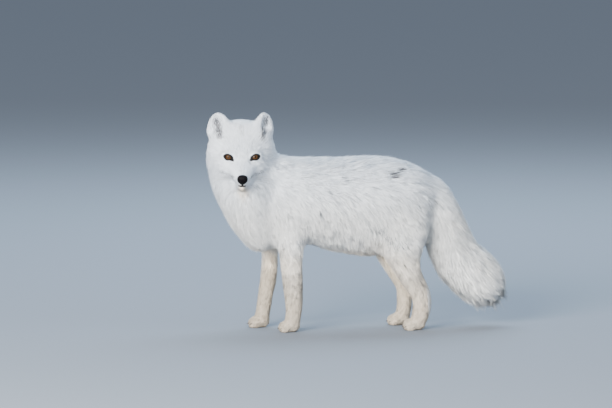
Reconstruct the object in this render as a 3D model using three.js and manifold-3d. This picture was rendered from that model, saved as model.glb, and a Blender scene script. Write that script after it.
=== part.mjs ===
// Arctic fox in full winter coat, life-size: it stands on four paws and looks to its left.
// Every solid reaches out to the tips of the coat. Millimetres; +X runs from the breast to the
// tail, -Y is the animal's left side, +Z is up. The origin is on the floor, under the middle of
// the bounding box.
import * as THREE from "three";
import { mergeVertices } from "three/addons/utils/BufferGeometryUtils.js";
import Module from "manifold-3d";

const wasm = await Module();
wasm.setup();

// ---- Driving dimensions -------------------------------------------------------------------
const BACK_HEIGHT = 300; // top of the coat over the ribs
const BELLY_HEIGHT = 124; // lowest hairs of the belly
const TRUNK_HALF_WIDTH = 77;
const FORE_TRACK = 37; // from the middle plane to each front paw
const HIND_TRACK = 39;
const FORE_X = -131; // middle between the front legs
const HIND_X = 95; // middle between the hind feet
const FORE_STRIDE = 17; // the left front leg stands this far behind FORE_X, the right one ahead
const HIND_STRIDE = 9;
const FORE_LEAN = { left: 3, right: -6 }; // how far each wrist stands behind its shoulder
const HEAD_AT = [-204.5, -66, 304.6]; // midpoint between the eyes
const HEAD_TURN = 84; // degrees, to the animal's left
const HEAD_PITCH = 12; // degrees, nose down
const EYE_RADIUS = 8.5;
const EYE_SPREAD = 22.3; // from the middle of the face to each eye's centre
const EYE_DEPTH = 2.2; // how far the eye's centre lies behind HEAD_AT
const NOSE_SIZE = [11, 16.8, 13]; // depth, width, height of the bare pad
const EAR_LENGTH = 50;
const EAR_TURN = { left: 46, right: 30 }; // degrees that each ear opens outwards
const PAW_LENGTH = { fore: 42, hind: 44 };
const GAP = 0.3; // air between neighbouring solids

const LEFT = -1;
const RIGHT = 1;
const UP = new THREE.Vector3(0, 0, 1);
const BACKWARD = new THREE.Vector3(1, 0, 0);
const FORWARD = new THREE.Vector3(-1, 0, 0);
const radians = THREE.MathUtils.degToRad;

// ---- Making solids --------------------------------------------------------------------------

// A closed geometry, taken through a matrix, as a manifold solid.
function solid(geometry, matrix = new THREE.Matrix4()) {
  const bare = geometry.index ? geometry.toNonIndexed() : geometry.clone();
  for (const name of Object.keys(bare.attributes)) {
    if (name !== "position") bare.deleteAttribute(name);
  }
  const merged = mergeVertices(bare.applyMatrix4(matrix), 1e-3);
  return new wasm.Manifold(
    new wasm.Mesh({
      numProp: 3,
      vertProperties: merged.attributes.position.array,
      triVerts: new Uint32Array(merged.index.array),
    }),
  );
}

// An ellipsoid with its poles along Z, before it is turned by matrix.
function ellipsoid(centre, radii, grow = 0, matrix, segments = 20) {
  const ball = new THREE.SphereGeometry(1, segments, Math.round(segments * 0.6));
  ball.rotateX(Math.PI / 2);
  ball.scale(...radii.map((r) => r + grow));
  ball.translate(...centre);
  return solid(ball, matrix);
}

// A closed body along a smooth path. Each station is {at, side, up, down}: a point of the path
// and the section's reach sideways, along the reference direction and against it. domes says how
// much of each end is rounded off, and squareness above 2 gives flatter flanks.
function loft(stations, options, grow = 0, matrix) {
  const { reference = UP, sides = 20, rings = 14, domes = [0.2, 0.2], squareness = 2 } = options;
  const path = new THREE.CatmullRomCurve3(stations.map((s) => new THREE.Vector3(...s.at)));
  const reach = new THREE.CatmullRomCurve3(
    stations.map((s) => new THREE.Vector3(s.side, s.up, s.down ?? s.up)),
  );
  const positions = [];
  const power = 2 / squareness;
  const bend = (v) => Math.sign(v) * Math.abs(v) ** power;
  for (let ring = 0; ring <= rings; ring++) {
    // Rings crowd towards both ends, where the domes curve most.
    const t = 0.5 - 0.5 * Math.cos((Math.PI * ring) / rings);
    const inset = Math.max(0, 1 - t / domes[0], 1 - (1 - t) / domes[1]);
    const dome = Math.sqrt(Math.max(0, 1 - inset * inset));
    const centre = path.getPoint(t);
    const forward = path.getTangent(t);
    const across = new THREE.Vector3().crossVectors(forward, reference).normalize();
    const upward = new THREE.Vector3().crossVectors(across, forward);
    const size = reach.getPoint(t);
    const end = ring === 0 || ring === rings;
    for (let side = 0; side < (end ? 1 : sides); side++) {
      const angle = (2 * Math.PI * side) / sides;
      const high = Math.sin(angle) >= 0 ? size.y : size.z;
      const point = centre.clone();
      if (end) {
        point.addScaledVector(forward, ring === 0 ? -grow : grow);
      } else {
        point.addScaledVector(across, (dome * size.x + grow) * bend(Math.cos(angle)));
        point.addScaledVector(upward, (dome * high + grow) * bend(Math.sin(angle)));
      }
      positions.push(...point.toArray());
    }
  }
  const first = (ring) => 1 + (ring - 1) * sides;
  const last = positions.length / 3 - 1;
  const index = [];
  for (let side = 0; side < sides; side++) {
    const next = (side + 1) % sides;
    index.push(0, first(1) + next, first(1) + side);
    index.push(last, first(rings - 1) + side, first(rings - 1) + next);
    for (let ring = 1; ring < rings - 1; ring++) {
      const [a, b] = [first(ring) + side, first(ring) + next];
      const [c, d] = [first(ring + 1) + side, first(ring + 1) + next];
      index.push(a, b, d, a, d, c);
    }
  }
  const geometry = new THREE.BufferGeometry();
  geometry.setAttribute("position", new THREE.Float32BufferAttribute(positions, 3));
  geometry.setIndex(index);
  const made = solid(geometry, matrix);
  if (made.volume() > 0) return made;
  geometry.setIndex(index.reverse());
  return solid(geometry, matrix);
}

// ---- The head, in its own frame: -X is forwards, -Y its left, the origin between the eyes ----
const headFrame = new THREE.Matrix4().compose(
  new THREE.Vector3(...HEAD_AT),
  new THREE.Quaternion().setFromEuler(
    new THREE.Euler(0, radians(-HEAD_PITCH), radians(HEAD_TURN), "ZYX"),
  ),
  new THREE.Vector3(1, 1, 1),
);

function eye(side, grow) {
  const radii = [EYE_RADIUS, EYE_RADIUS, EYE_RADIUS];
  return ellipsoid([EYE_DEPTH, side * EYE_SPREAD, 0], radii, grow, headFrame, 12);
}

// The bare pad: a rounded block, wider above than below.
function nosePad(grow) {
  const [depth, width, height] = NOSE_SIZE.map((size) => size / 2);
  const stations = [
    { at: [-47, 0, -24.9], side: width * 0.8, up: height * 0.85 },
    { at: [-52, 0, -24.5], side: width, up: height, down: height * 0.95 },
    { at: [-55, 0, -24.7], side: width * 0.98, up: height * 0.9, down: height * 0.9 },
    { at: [-47 - 2 * depth, 0, -25.5], side: width * 0.75, up: height * 0.6, down: height * 0.7 },
  ];
  const options = { sides: 12, rings: 8, domes: [0.1, 0.4], squareness: 2.3 };
  return loft(stations, options, grow, headFrame);
}

// The upper jaw's muzzle, from between the cheeks to the nose.
function muzzle(grow) {
  const stations = [
    { at: [6, 0, -17], side: 33, up: 17.5, down: 23 },
    { at: [-7, 0, -18], side: 27, up: 15.5, down: 22 },
    { at: [-20, 0, -21], side: 21, up: 13.5, down: 19 },
    { at: [-34, 0, -24.5], side: 16.5, up: 11.5, down: 15.5 },
    { at: [-46, 0, -27], side: 13, up: 9, down: 12 },
    { at: [-54, 0, -28.5], side: 9.5, up: 6, down: 8 },
  ];
  const options = { sides: 14, rings: 9, domes: [0.1, 0.1], squareness: 2.2 };
  return loft(stations, options, grow, headFrame);
}

// The lower jaw and chin, under the mouth line.
function lowerJaw(grow) {
  const stations = [
    { at: [4, 0, -44], side: 21, up: 10, down: 13 },
    { at: [-10, 0, -44], side: 17, up: 8, down: 12 },
    { at: [-26, 0, -43.5], side: 12.5, up: 7, down: 10.5 },
    { at: [-49, 0, -43.5], side: 9, up: 5.5, down: 7 },
  ];
  return loft(stations, { sides: 12, rings: 8, domes: [0.15, 0.22] }, grow, headFrame);
}

// A short, thick ear: a flattened cone with a round tip, scooped out on the side that it faces.
function ear(side, grow) {
  const turn = side * radians(side === LEFT ? EAR_TURN.left : EAR_TURN.right);
  const facing = new THREE.Vector3(-Math.cos(turn), Math.sin(turn), 0);
  const tip = new THREE.Vector3(47, side * 38, 65.5);
  const root = new THREE.Vector3(50, side * 35, 65.5 - EAR_LENGTH);
  const at = (t) => root.clone().lerp(tip, t).toArray();
  const stations = [
    { at: at(0), side: 28, up: 14 },
    { at: at(0.3), side: 27, up: 12 },
    { at: at(0.6), side: 22.5, up: 9 },
    { at: at(0.85), side: 16, up: 6 },
    { at: at(1), side: 10, up: 5 },
  ];
  const options = { reference: facing, sides: 14, rings: 8, domes: [0.1, 0.3] };
  const whole = loft(stations, options, grow, headFrame);
  if (grow > 0) return whole;
  const scoop = new THREE.SphereGeometry(1, 12, 8);
  scoop.scale(9.5, 12.5, 20);
  scoop.rotateZ(Math.atan2(facing.y, facing.x));
  scoop.translate(...new THREE.Vector3(...at(0.62)).addScaledVector(facing, 10).toArray());
  return whole.subtract(solid(scoop, headFrame));
}

// Braincase, face and the fluffed cheeks.
function skull(grow) {
  const stations = [
    { at: [-13, 0, -12], side: 22, up: 16, down: 20 },
    { at: [1, 0, -15], side: 38, up: 34, down: 31 },
    { at: [16, 0, -19], side: 50, up: 58, down: 38 },
    { at: [35, 0, -21], side: 60, up: 73, down: 43 },
    { at: [58, 0, -21], side: 61, up: 74, down: 44 },
    { at: [80, 0, -18], side: 52, up: 63, down: 42 },
    { at: [100, 0, -12], side: 33, up: 39, down: 30 },
  ];
  const options = { sides: 20, rings: 11, domes: [0.08, 0.22], squareness: 2.35 };
  return loft(stations, options, grow, headFrame);
}

// ---- Neck, trunk and tail ---------------------------------------------------------------------

// The nape rises from the withers to the back of the skull.
function nape(grow) {
  const stations = [
    { at: [-92, 0, 240], side: 54, up: 52, down: 44 },
    { at: [-126, -1, 250], side: 55, up: 53.5, down: 46 },
    { at: [-158, -5, 262], side: 53, up: 49.5, down: 46 },
    { at: [-184, -10, 284], side: 47, up: 38, down: 40 },
    { at: [-198, -13, 306], side: 38, up: 28, down: 30 },
  ];
  return loft(stations, { sides: 14, rings: 7, domes: [0.15, 0.25] }, grow);
}

// The ruff hangs from the cheeks down over the throat to the breast.
function ruff(grow) {
  const stations = [
    { at: [-197, -20, 310], side: 34, up: 50, down: 50 },
    { at: [-197, -21, 282], side: 40, up: 62, down: 63 },
    { at: [-195, -23, 252], side: 51, up: 57, down: 59 },
    { at: [-188, -18, 222], side: 56, up: 48, down: 50 },
    { at: [-177, -9, 190], side: 54, up: 40, down: 46 },
    { at: [-161, -2, 159], side: 45, up: 30, down: 36 },
    { at: [-150, 0, 142], side: 32, up: 20, down: 22 },
  ];
  const options = { reference: FORWARD, sides: 16, rings: 10, domes: [0.15, 0.1] };
  return loft(stations, options, grow);
}

const neck = (grow) => wasm.Manifold.union([nape(grow), ruff(grow)]);

// Breast, ribs, belly and rump as one barrel.
function barrel(grow) {
  const outline = [
    // x, top, bottom, half width
    [-188, 232, 170, 30],
    [-164, 266, 146, 53],
    [-130, 295, 132, 67],
    [-85, 299, 148, 74],
    [-35, 299, 134, TRUNK_HALF_WIDTH],
    [15, BACK_HEIGHT, BELLY_HEIGHT, TRUNK_HALF_WIDTH],
    [60, 300, 128, 75],
    [92, 294, 146, 68],
    [120, 280, 168, 54],
    [144, 258, 190, 34],
  ];
  const stations = outline.map(([x, top, bottom, half]) => {
    const height = (top + bottom) / 2;
    return { at: [x, 0, height], side: half, up: top - height };
  });
  return loft(stations, { sides: 20, rings: 13, domes: [0.1, 0.1], squareness: 2.15 }, grow);
}

// The brush hangs behind the thighs and swings back at its tip.
function tail(grow) {
  const stations = [
    { at: [102, 0, 253], side: 32, up: 32 },
    { at: [126, 0, 229], side: 36, up: 40, down: 37 },
    { at: [145, 2, 200], side: 38, up: 40, down: 38 },
    { at: [161, 4, 161], side: 39, up: 41 },
    { at: [176, 5, 124], side: 41, up: 45 },
    { at: [202, 7, 97], side: 41, up: 47, down: 45 },
    { at: [230, 8, 76], side: 38, up: 43, down: 42 },
    { at: [262, 9, 55], side: 27, up: 31, down: 29 },
  ];
  return loft(stations, { reference: BACKWARD, sides: 16, rings: 14, domes: [0.1, 0.14] }, grow);
}

// ---- Legs ---------------------------------------------------------------------------------------

// One leg from inside the trunk down to its paw. Each row is a level section: its height, how far
// its middle stands behind the paw's line, how much further out than the paw (as a share of the
// track), and its reach sideways, backwards and forwards.
function leg(x, y, rows, grow) {
  const stations = rows.map(([height, back, spread, aside, rear, front]) => {
    return { at: [x + back, y * spread, height], side: aside, up: rear, down: front };
  });
  const rings = rows.length + 4;
  return loft(stations, { reference: BACKWARD, sides: 12, rings, domes: [0.12, 0.06] }, grow);
}

// From the shoulder, inside the chest, straight down to the wrist.
const FORELEG = {
  left: [
    [196, 6, 1.1, 20, 26, 28],
    [165, 0, 1.12, 23, 27, 30],
    [128, -3, 1.1, 20, 21, 21],
    [94, 0, 1.05, 17.5, 19, 19],
    [60, 2, 1, 16, 17.5, 16.5],
    [36, 3, 1, 14.5, 15, 14.5],
    [14, -1, 1, 14, 13.5, 13.5],
  ],
  right: [
    [196, 6, 1.1, 20, 26, 26],
    [165, 2, 1.12, 22, 26, 24],
    [128, 4, 1.1, 19, 16, 13],
    [94, 5, 1.05, 16.5, 16, 16],
    [60, -2.5, 1, 15, 14, 13.5],
    [36, -5, 1, 14, 13.5, 13.5],
    [14, -10, 1, 14, 13, 13],
  ],
};

function foreleg(side, grow) {
  const rows = side === LEFT ? FORELEG.left : FORELEG.right;
  return leg(FORE_X - side * FORE_STRIDE, side * FORE_TRACK, rows, grow);
}

// Thigh, shank and foot, bent forwards at the knee and back at the hock.
const HINDLEG = {
  left: [
    [226, -16.5, 0.9, 26, 40, 40],
    [186, -23.5, 1.06, 33, 46, 46],
    [148, -29.5, 1.1, 32, 45, 42],
    [120, -24.5, 1.06, 25, 31, 30],
    [94, -13, 1, 18.5, 20, 22],
    [72, 1, 1, 16.5, 18.5, 20],
    [54, 7, 1, 15.5, 18, 17],
    [33, 6, 1, 15, 16.5, 16],
    [13, 2, 1, 15, 14, 15],
  ],
  right: [
    [226, -7.5, 0.9, 26, 40, 40],
    [186, -14.5, 1.06, 33, 46, 44],
    [148, -20.5, 1.1, 32, 45, 39],
    [120, -15.5, 1.06, 25, 32, 27],
    [94, -7, 1, 18, 18, 18.5],
    [72, 5, 1, 15.5, 15.5, 14.5],
    [54, 6, 1, 14.5, 14.5, 13],
    [33, 7, 1, 14.5, 13.5, 13],
    [13, 4, 1, 14.5, 13, 14],
  ],
};

function hindleg(side, grow) {
  const rows = side === LEFT ? HINDLEG.left : HINDLEG.right;
  return leg(HIND_X - side * HIND_STRIDE, side * HIND_TRACK, rows, grow);
}

// A broad furry foot with four toes, flat underneath.
function paw(x, y, length, grow) {
  const width = 0.36 * length;
  const toes = [-0.66, -0.23, 0.23, 0.66].map((place) => {
    const forward = (0.36 - 0.18 * Math.abs(place)) * length;
    const radii = [0.24 * length, 0.2 * length, 11];
    return ellipsoid([x - forward, y + place * width, 7.5], radii, grow, undefined, 7);
  });
  const stations = [
    { at: [x + 0.4 * length, y, 13], side: width * 0.7, up: 13, down: 15 },
    { at: [x, y, 12], side: width * 0.95, up: 13, down: 14 },
    { at: [x - 0.45 * length, y, 9], side: width * 0.85, up: 8, down: 11 },
  ];
  const sole = loft(stations, { sides: 10, rings: 6, domes: [0.35, 0.35] }, grow);
  return wasm.Manifold.union([sole, ...toes]);
}

function forepaw(side, grow) {
  const lean = side === LEFT ? FORE_LEAN.left : FORE_LEAN.right;
  const x = FORE_X - side * FORE_STRIDE + lean - 5;
  return paw(x, side * FORE_TRACK, PAW_LENGTH.fore, grow);
}

function hindpaw(side, grow) {
  const set = side === LEFT ? -3 : 0;
  return paw(HIND_X - side * HIND_STRIDE + set, side * HIND_TRACK, PAW_LENGTH.hind, grow);
}

// ---- Fitting the pieces together ----------------------------------------------------------------

// Earlier pieces keep their whole shape, and later ones are cut back from them by GAP.
const pieces = [
  ["eye_left", (grow) => eye(LEFT, grow)],
  ["eye_right", (grow) => eye(RIGHT, grow)],
  ["nose_pad", nosePad],
  ["ear_left", (grow) => ear(LEFT, grow)],
  ["ear_right", (grow) => ear(RIGHT, grow)],
  ["muzzle", muzzle],
  ["lower_jaw", lowerJaw],
  ["head", skull],
  ["forepaw_left", (grow) => forepaw(LEFT, grow)],
  ["forepaw_right", (grow) => forepaw(RIGHT, grow)],
  ["hindpaw_left", (grow) => hindpaw(LEFT, grow)],
  ["hindpaw_right", (grow) => hindpaw(RIGHT, grow)],
  ["foreleg_left", (grow) => foreleg(LEFT, grow)],
  ["foreleg_right", (grow) => foreleg(RIGHT, grow)],
  ["hindleg_left", (grow) => hindleg(LEFT, grow)],
  ["hindleg_right", (grow) => hindleg(RIGHT, grow)],
  ["tail", tail],
  ["neck", neck],
  ["trunk", barrel],
];

// Long pieces are parted by flat cuts: [piece, point, normal, names from the far side of the
// normal to the near one].
const foreCut = (side, height) => [FORE_X - side * FORE_STRIDE, side * FORE_TRACK, height];
const hindCut = (side, dx, height) => [HIND_X - side * HIND_STRIDE + dx, side * HIND_TRACK, height];
const cuts = [];
for (const [label, side] of [["left", LEFT], ["right", RIGHT]]) {
  cuts.push([`foreleg_${label}`, foreCut(side, 112), [0, 0, 1], "forearm", "upper_arm", label]);
  cuts.push([`hindleg_${label}`, hindCut(side, -14, 106), [-0.35, 0, 1], "shank", "thigh", label]);
  cuts.push([`shank_${label}`, hindCut(side, 2, 62), [0.25, 0, 1], "hind_foot", "shank", label]);
}
cuts.push(["trunk", [-66, 0, 200], [1, 0, 0], "chest", "belly"]);
cuts.push(["belly", [46, 0, 200], [1, 0, 0], "belly", "rump"]);
cuts.push(["tail", [157, 4, 150], [0.45, 0, -0.9], "tail_root", "tail_brush"]);

const largest = (made) => made.decompose().reduce((a, b) => (b.volume() > a.volume() ? b : a));

function fitTogether() {
  const floor = new THREE.BoxGeometry(1000, 1000, 100).translate(0, 0, -50);
  const below = solid(floor);
  const fitted = new Map();
  pieces.forEach(([name, make], place) => {
    let made = make(0).subtract(below);
    for (const [, earlier] of pieces.slice(0, place)) made = made.subtract(earlier(GAP));
    fitted.set(name, largest(made));
  });
  return fitted;
}

// Splits a solid at a plane, leaving GAP between the two sides.
function part(made, point, normal) {
  const half = (sign) => {
    const block = new THREE.BoxGeometry(800, 800, 800).translate(0, 0, sign * (400 + GAP / 2));
    const turn = new THREE.Quaternion().setFromUnitVectors(
      UP,
      new THREE.Vector3(...normal).normalize(),
    );
    const matrix = new THREE.Matrix4().compose(
      new THREE.Vector3(...point),
      turn,
      new THREE.Vector3(1, 1, 1),
    );
    return largest(made.intersect(solid(block, matrix)));
  };
  return [half(-1), half(1)];
}

const solids = fitTogether();
for (const [whole, point, normal, far, near, label] of cuts) {
  const [below, above] = part(solids.get(whole), point, normal);
  const named = (name) => (label ? `${name}_${label}` : name);
  solids.delete(whole);
  solids.set(named(far), below);
  solids.set(named(near), above);
}

// ---- Colours, and the finished group ------------------------------------------------------------
const coat = () => new THREE.MeshStandardMaterial({ color: 0xeceae6, roughness: 0.9 });
const creamCoat = () => new THREE.MeshStandardMaterial({ color: 0xe6dccb, roughness: 0.9 });
const noseLeather = () => new THREE.MeshStandardMaterial({ color: 0x17151a, roughness: 0.45 });
const amberEye = () => new THREE.MeshStandardMaterial({ color: 0x7a4518, roughness: 0.08 });

function materialFor(name) {
  if (name.startsWith("eye")) return amberEye();
  if (name === "nose_pad") return noseLeather();
  return /forearm|paw|foot|shank/.test(name) ? creamCoat() : coat();
}

function meshOf(name, made) {
  const { numProp, vertProperties, triVerts } = made.getMesh();
  const data = new THREE.InterleavedBuffer(vertProperties, numProp);
  const geometry = new THREE.BufferGeometry();
  geometry.setAttribute("position", new THREE.InterleavedBufferAttribute(data, 3, 0));
  geometry.setIndex(new THREE.BufferAttribute(triVerts, 1));
  const flat = geometry.toNonIndexed();
  flat.computeVertexNormals();
  const mesh = new THREE.Mesh(flat, materialFor(name));
  mesh.name = name;
  return mesh;
}

const fox = new THREE.Group();
fox.name = "arctic_fox";
for (const [name, made] of solids) fox.add(meshOf(name, made));
const box = new THREE.Box3().setFromObject(fox, true);
const middle = box.getCenter(new THREE.Vector3());
fox.position.set(-middle.x, -middle.y, 0);

export default fox;
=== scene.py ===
"""Arctic fox in full winter coat, life-size, standing still and looking to its left.

One skin stands for all the nodes of flesh, sunk below them by the depth of the coat, and the coat
is mesh over it, in tufts whose tips reach the solids. Metres, in the frame's own axes: +X runs
from the breast to the tail, -Y is the fox's left side, +Z is up.
"""

import math

import bmesh
import bpy
import numpy as np
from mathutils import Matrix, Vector
from mathutils.bvhtree import BVHTree
from mathutils.kdtree import KDTree


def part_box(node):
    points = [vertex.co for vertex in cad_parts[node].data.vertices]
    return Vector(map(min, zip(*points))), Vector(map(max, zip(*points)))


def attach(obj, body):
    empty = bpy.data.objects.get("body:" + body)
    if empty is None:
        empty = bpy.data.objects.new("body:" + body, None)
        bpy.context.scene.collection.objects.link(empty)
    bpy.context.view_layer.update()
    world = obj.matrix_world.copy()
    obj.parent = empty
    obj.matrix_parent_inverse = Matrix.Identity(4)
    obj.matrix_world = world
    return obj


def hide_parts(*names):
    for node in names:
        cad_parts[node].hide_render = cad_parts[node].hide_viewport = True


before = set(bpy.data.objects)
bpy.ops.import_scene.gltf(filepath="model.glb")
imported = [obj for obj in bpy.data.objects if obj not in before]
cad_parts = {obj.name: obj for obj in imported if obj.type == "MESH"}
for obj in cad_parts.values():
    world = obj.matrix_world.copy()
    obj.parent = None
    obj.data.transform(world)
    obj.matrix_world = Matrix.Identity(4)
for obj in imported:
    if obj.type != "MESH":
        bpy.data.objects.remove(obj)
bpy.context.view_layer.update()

MM = 0.001

# ---- Sizes of the fox, in millimetres ---------------------------------------------------------
EYE_RADIUS = 8.0
EYE_SET_BACK = 2.2  # from the front of the brow to the middle of each eye
NOSE_DROP = math.radians(23.7)  # how far the nose hangs below straight ahead, seen from the eyes
BROW_AT = np.array((-204.5, -66.0, 304.6))  # from the floor below the middle of the trunk
SKIN_VOXEL = 3.0
JOIN_GROW = 0.35  # closes the slits between neighbouring solids
BLEND = 9.0  # how softly the coat of one part runs into the next
FAR = 60.0  # a part further off than this has no say in a place

BARE_NODES = ("eye_left", "eye_right", "nose_pad")
FLESH_NODES = sorted(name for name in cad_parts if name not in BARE_NODES)

# For each part: depth of the coat, length of a tuft, width of a tuft.
COAT = {
    "head": (9.0, 17.0, 1.0),
    "muzzle": (2.0, 5.0, 0.65),
    "lower_jaw": (4.0, 13.0, 0.75),
    "ear": (2.0, 10.0, 0.75),
    "neck": (13.0, 23.0, 1.0),
    "chest": (13.0, 20.0, 1.2),
    "belly": (14.0, 21.0, 1.2),
    "rump": (14.0, 21.0, 1.2),
    "tail_root": (14.0, 28.0, 1.25),
    "tail_brush": (18.0, 44.0, 1.5),
    "upper_arm": (9.0, 17.0, 1.15),
    "forearm": (4.0, 12.0, 0.9),
    "forepaw": (2.2, 8.0, 0.8),
    "thigh": (12.0, 19.0, 1.2),
    "shank": (6.0, 15.0, 1.05),
    "hind_foot": (3.5, 11.0, 0.9),
    "hindpaw": (2.2, 8.0, 0.8),
}

FRONT_OF_FACE = np.array((2.6, 6.0, 0.62))  # the same three at the front of the face
BACK_OF_FACE = np.array((9.0, 17.0, 0.97))
EAR_FLUFF = (4.0, 9.0, -0.1)  # what the bowl of an ear adds to these
EAR_FILL = 2.5  # how far that hair fills the bowl
MOST_COAT = 0.3  # of the thickness of the flesh


# ---- Numbers and meshes -----------------------------------------------------------------------
def smoothstep(low, high, value):
    t = np.clip((np.asarray(value, float) - low) / (high - low), 0.0, 1.0)
    return t * t * (3.0 - 2.0 * t)


def unit(vectors):
    vectors = np.asarray(vectors, float)
    length = np.linalg.norm(vectors, axis=-1, keepdims=True)
    return vectors / np.maximum(length, 1e-9)


def kind_of(node):
    """The part's name without its side."""
    return node.replace("_left", "").replace("_right", "")


def read_rows(items, field, size, kind=float):
    """One field of many mesh items as an array with a row for each."""
    flat = np.empty(len(items) * size, kind)
    items.foreach_get(field, flat)
    return flat.reshape(-1, size)


def read_points(mesh):
    return read_rows(mesh.vertices, "co", 3)


def write_points(mesh, points):
    mesh.vertices.foreach_set("co", np.ascontiguousarray(points, np.float32).ravel())
    mesh.update()


def read_normals(mesh):
    return read_rows(mesh.vertex_normals, "vector", 3)


def read_edges(mesh):
    return read_rows(mesh.edges, "vertices", 2, np.int64)


def faces_of(mesh):
    return [tuple(face.vertices) for face in mesh.polygons]


def relax(values, edges, times, amount=0.5):
    """Each value moves towards the mean of its neighbours' values, again and again."""
    values = np.array(values, float)
    columns = values.reshape(len(values), -1)
    degree = np.maximum(np.bincount(edges.ravel(), minlength=len(columns)), 1)
    for _ in range(times):
        for k in range(columns.shape[1]):
            total = np.bincount(edges[:, 0], columns[edges[:, 1], k], len(columns))
            total += np.bincount(edges[:, 1], columns[edges[:, 0], k], len(columns))
            columns[:, k] += amount * (total / degree - columns[:, k])
    return columns.reshape(values.shape)


def set_attribute(mesh, name, kind, values):
    attribute = mesh.attributes.get(name) or mesh.attributes.new(name, kind, "POINT")
    field = {"FLOAT": "value", "FLOAT_VECTOR": "vector", "FLOAT_COLOR": "color"}[kind]
    attribute.data.foreach_set(field, np.ascontiguousarray(values, np.float32).ravel())


def get_attribute(mesh, name):
    return read_rows(mesh.attributes[name].data, "vector", 3)


def deselect_all():
    if bpy.context.object and bpy.context.object.mode != "OBJECT":
        bpy.ops.object.mode_set(mode="OBJECT")
    bpy.ops.object.select_all(action="DESELECT")


def activate(obj):
    deselect_all()
    obj.select_set(True)
    bpy.context.view_layer.objects.active = obj


def apply_modifier(obj, kind, **settings):
    modifier = obj.modifiers.new(kind.lower(), kind)
    for key, value in settings.items():
        setattr(modifier, key, value)
    activate(obj)
    bpy.ops.object.modifier_apply(modifier=modifier.name)


# ---- Places read from the frame ---------------------------------------------------------------
def centre_of(node):
    low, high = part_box(node)
    return np.array((low + high) / 2)


class Head:
    """The head's own axes: x backwards, y to its right, z up, in millimetres from the brow."""

    def __init__(self):
        left, right, nose = (centre_of(n) for n in ("eye_left", "eye_right", "nose_pad"))
        middle = (left + right) / 2
        across = unit(right - left)
        along = nose - middle
        along = unit(along - across * along.dot(across))
        over = np.cross(across, along)
        forward = along * math.cos(NOSE_DROP) + over * math.sin(NOSE_DROP)
        self.axes = np.column_stack([-forward, across, np.cross(across, forward)])
        self.origin = middle + forward * EYE_SET_BACK * MM

    def inside(self, points):
        """World points, or with no place a direction, in the head's axes."""
        return (np.asarray(points) - self.origin) @ self.axes / MM

    def world(self, points):
        return self.origin + (np.asarray(points, float) * MM) @ self.axes.T

    def turn(self, directions):
        return np.asarray(directions, float) @ self.axes.T


head = Head()
TRUNK_MIDDLE = head.origin / MM - BROW_AT  # on the floor, in the plane that halves the trunk


def from_trunk(points):
    """World points in millimetres from the floor below the middle of the trunk."""
    return np.asarray(points) / MM - TRUNK_MIDDLE


# ---- Camera, floor and light ------------------------------------------------------------------
CAMERA_TURN = math.radians(8.0)  # towards the fox's head, from square to its side
CAMERA_RISE = math.radians(5.5)
CAMERA_AWAY = 8.0
CAMERA_LENS = 273.6
LOOK_AT = Vector((TRUNK_MIDDLE + (-85, 0, 216.3)) * MM)


def aim(obj, target):
    obj.rotation_mode = "QUATERNION"
    obj.rotation_quaternion = (Vector(target) - obj.location).to_track_quat("-Z", "Y")


def camera_back():
    """The direction from the fox to the camera."""
    flat = math.cos(CAMERA_RISE)
    return Vector((-math.sin(CAMERA_TURN) * flat, -math.cos(CAMERA_TURN) * flat, math.sin(CAMERA_RISE)))


def make_camera():
    data = bpy.data.cameras.new("camera")
    data.lens = CAMERA_LENS
    data.sensor_width = 36
    data.clip_start, data.clip_end = 0.1, 100
    camera = bpy.data.objects.new("camera", data)
    bpy.context.scene.collection.objects.link(camera)
    camera.location = LOOK_AT + camera_back() * CAMERA_AWAY
    aim(camera, LOOK_AT)
    bpy.context.scene.camera = camera


def make_light(name, place, target, size, power, colour):
    data = bpy.data.lights.new(name, "AREA")
    data.shape = "DISK"
    data.size = size
    data.energy = power
    data.color = colour
    light = bpy.data.objects.new(name, data)
    bpy.context.scene.collection.objects.link(light)
    light.location = place
    aim(light, target)


def make_lights():
    middle = (0, 0, 0.2)
    make_light("window", (-2.3, -3.1, 1.2), middle, 2.4, 430, (1.0, 0.975, 0.93))
    make_light("snow", (-0.9, -2.6, 0.3), middle, 1.6, 55, (0.9, 0.95, 1.0))
    make_light("skylight", (0.4, 1.7, 2.6), middle, 3.0, 150, (0.62, 0.81, 1.0))
    make_light("fill", (2.6, -1.6, 1.2), middle, 2.0, 22, (0.78, 0.88, 1.0))
    world = bpy.data.worlds.new("studio")
    world.use_nodes = True
    world.node_tree.nodes["Background"].inputs["Color"].default_value = (0.62, 0.69, 0.8, 1)
    world.node_tree.nodes["Background"].inputs["Strength"].default_value = 0.85
    bpy.context.scene.world = world


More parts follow.
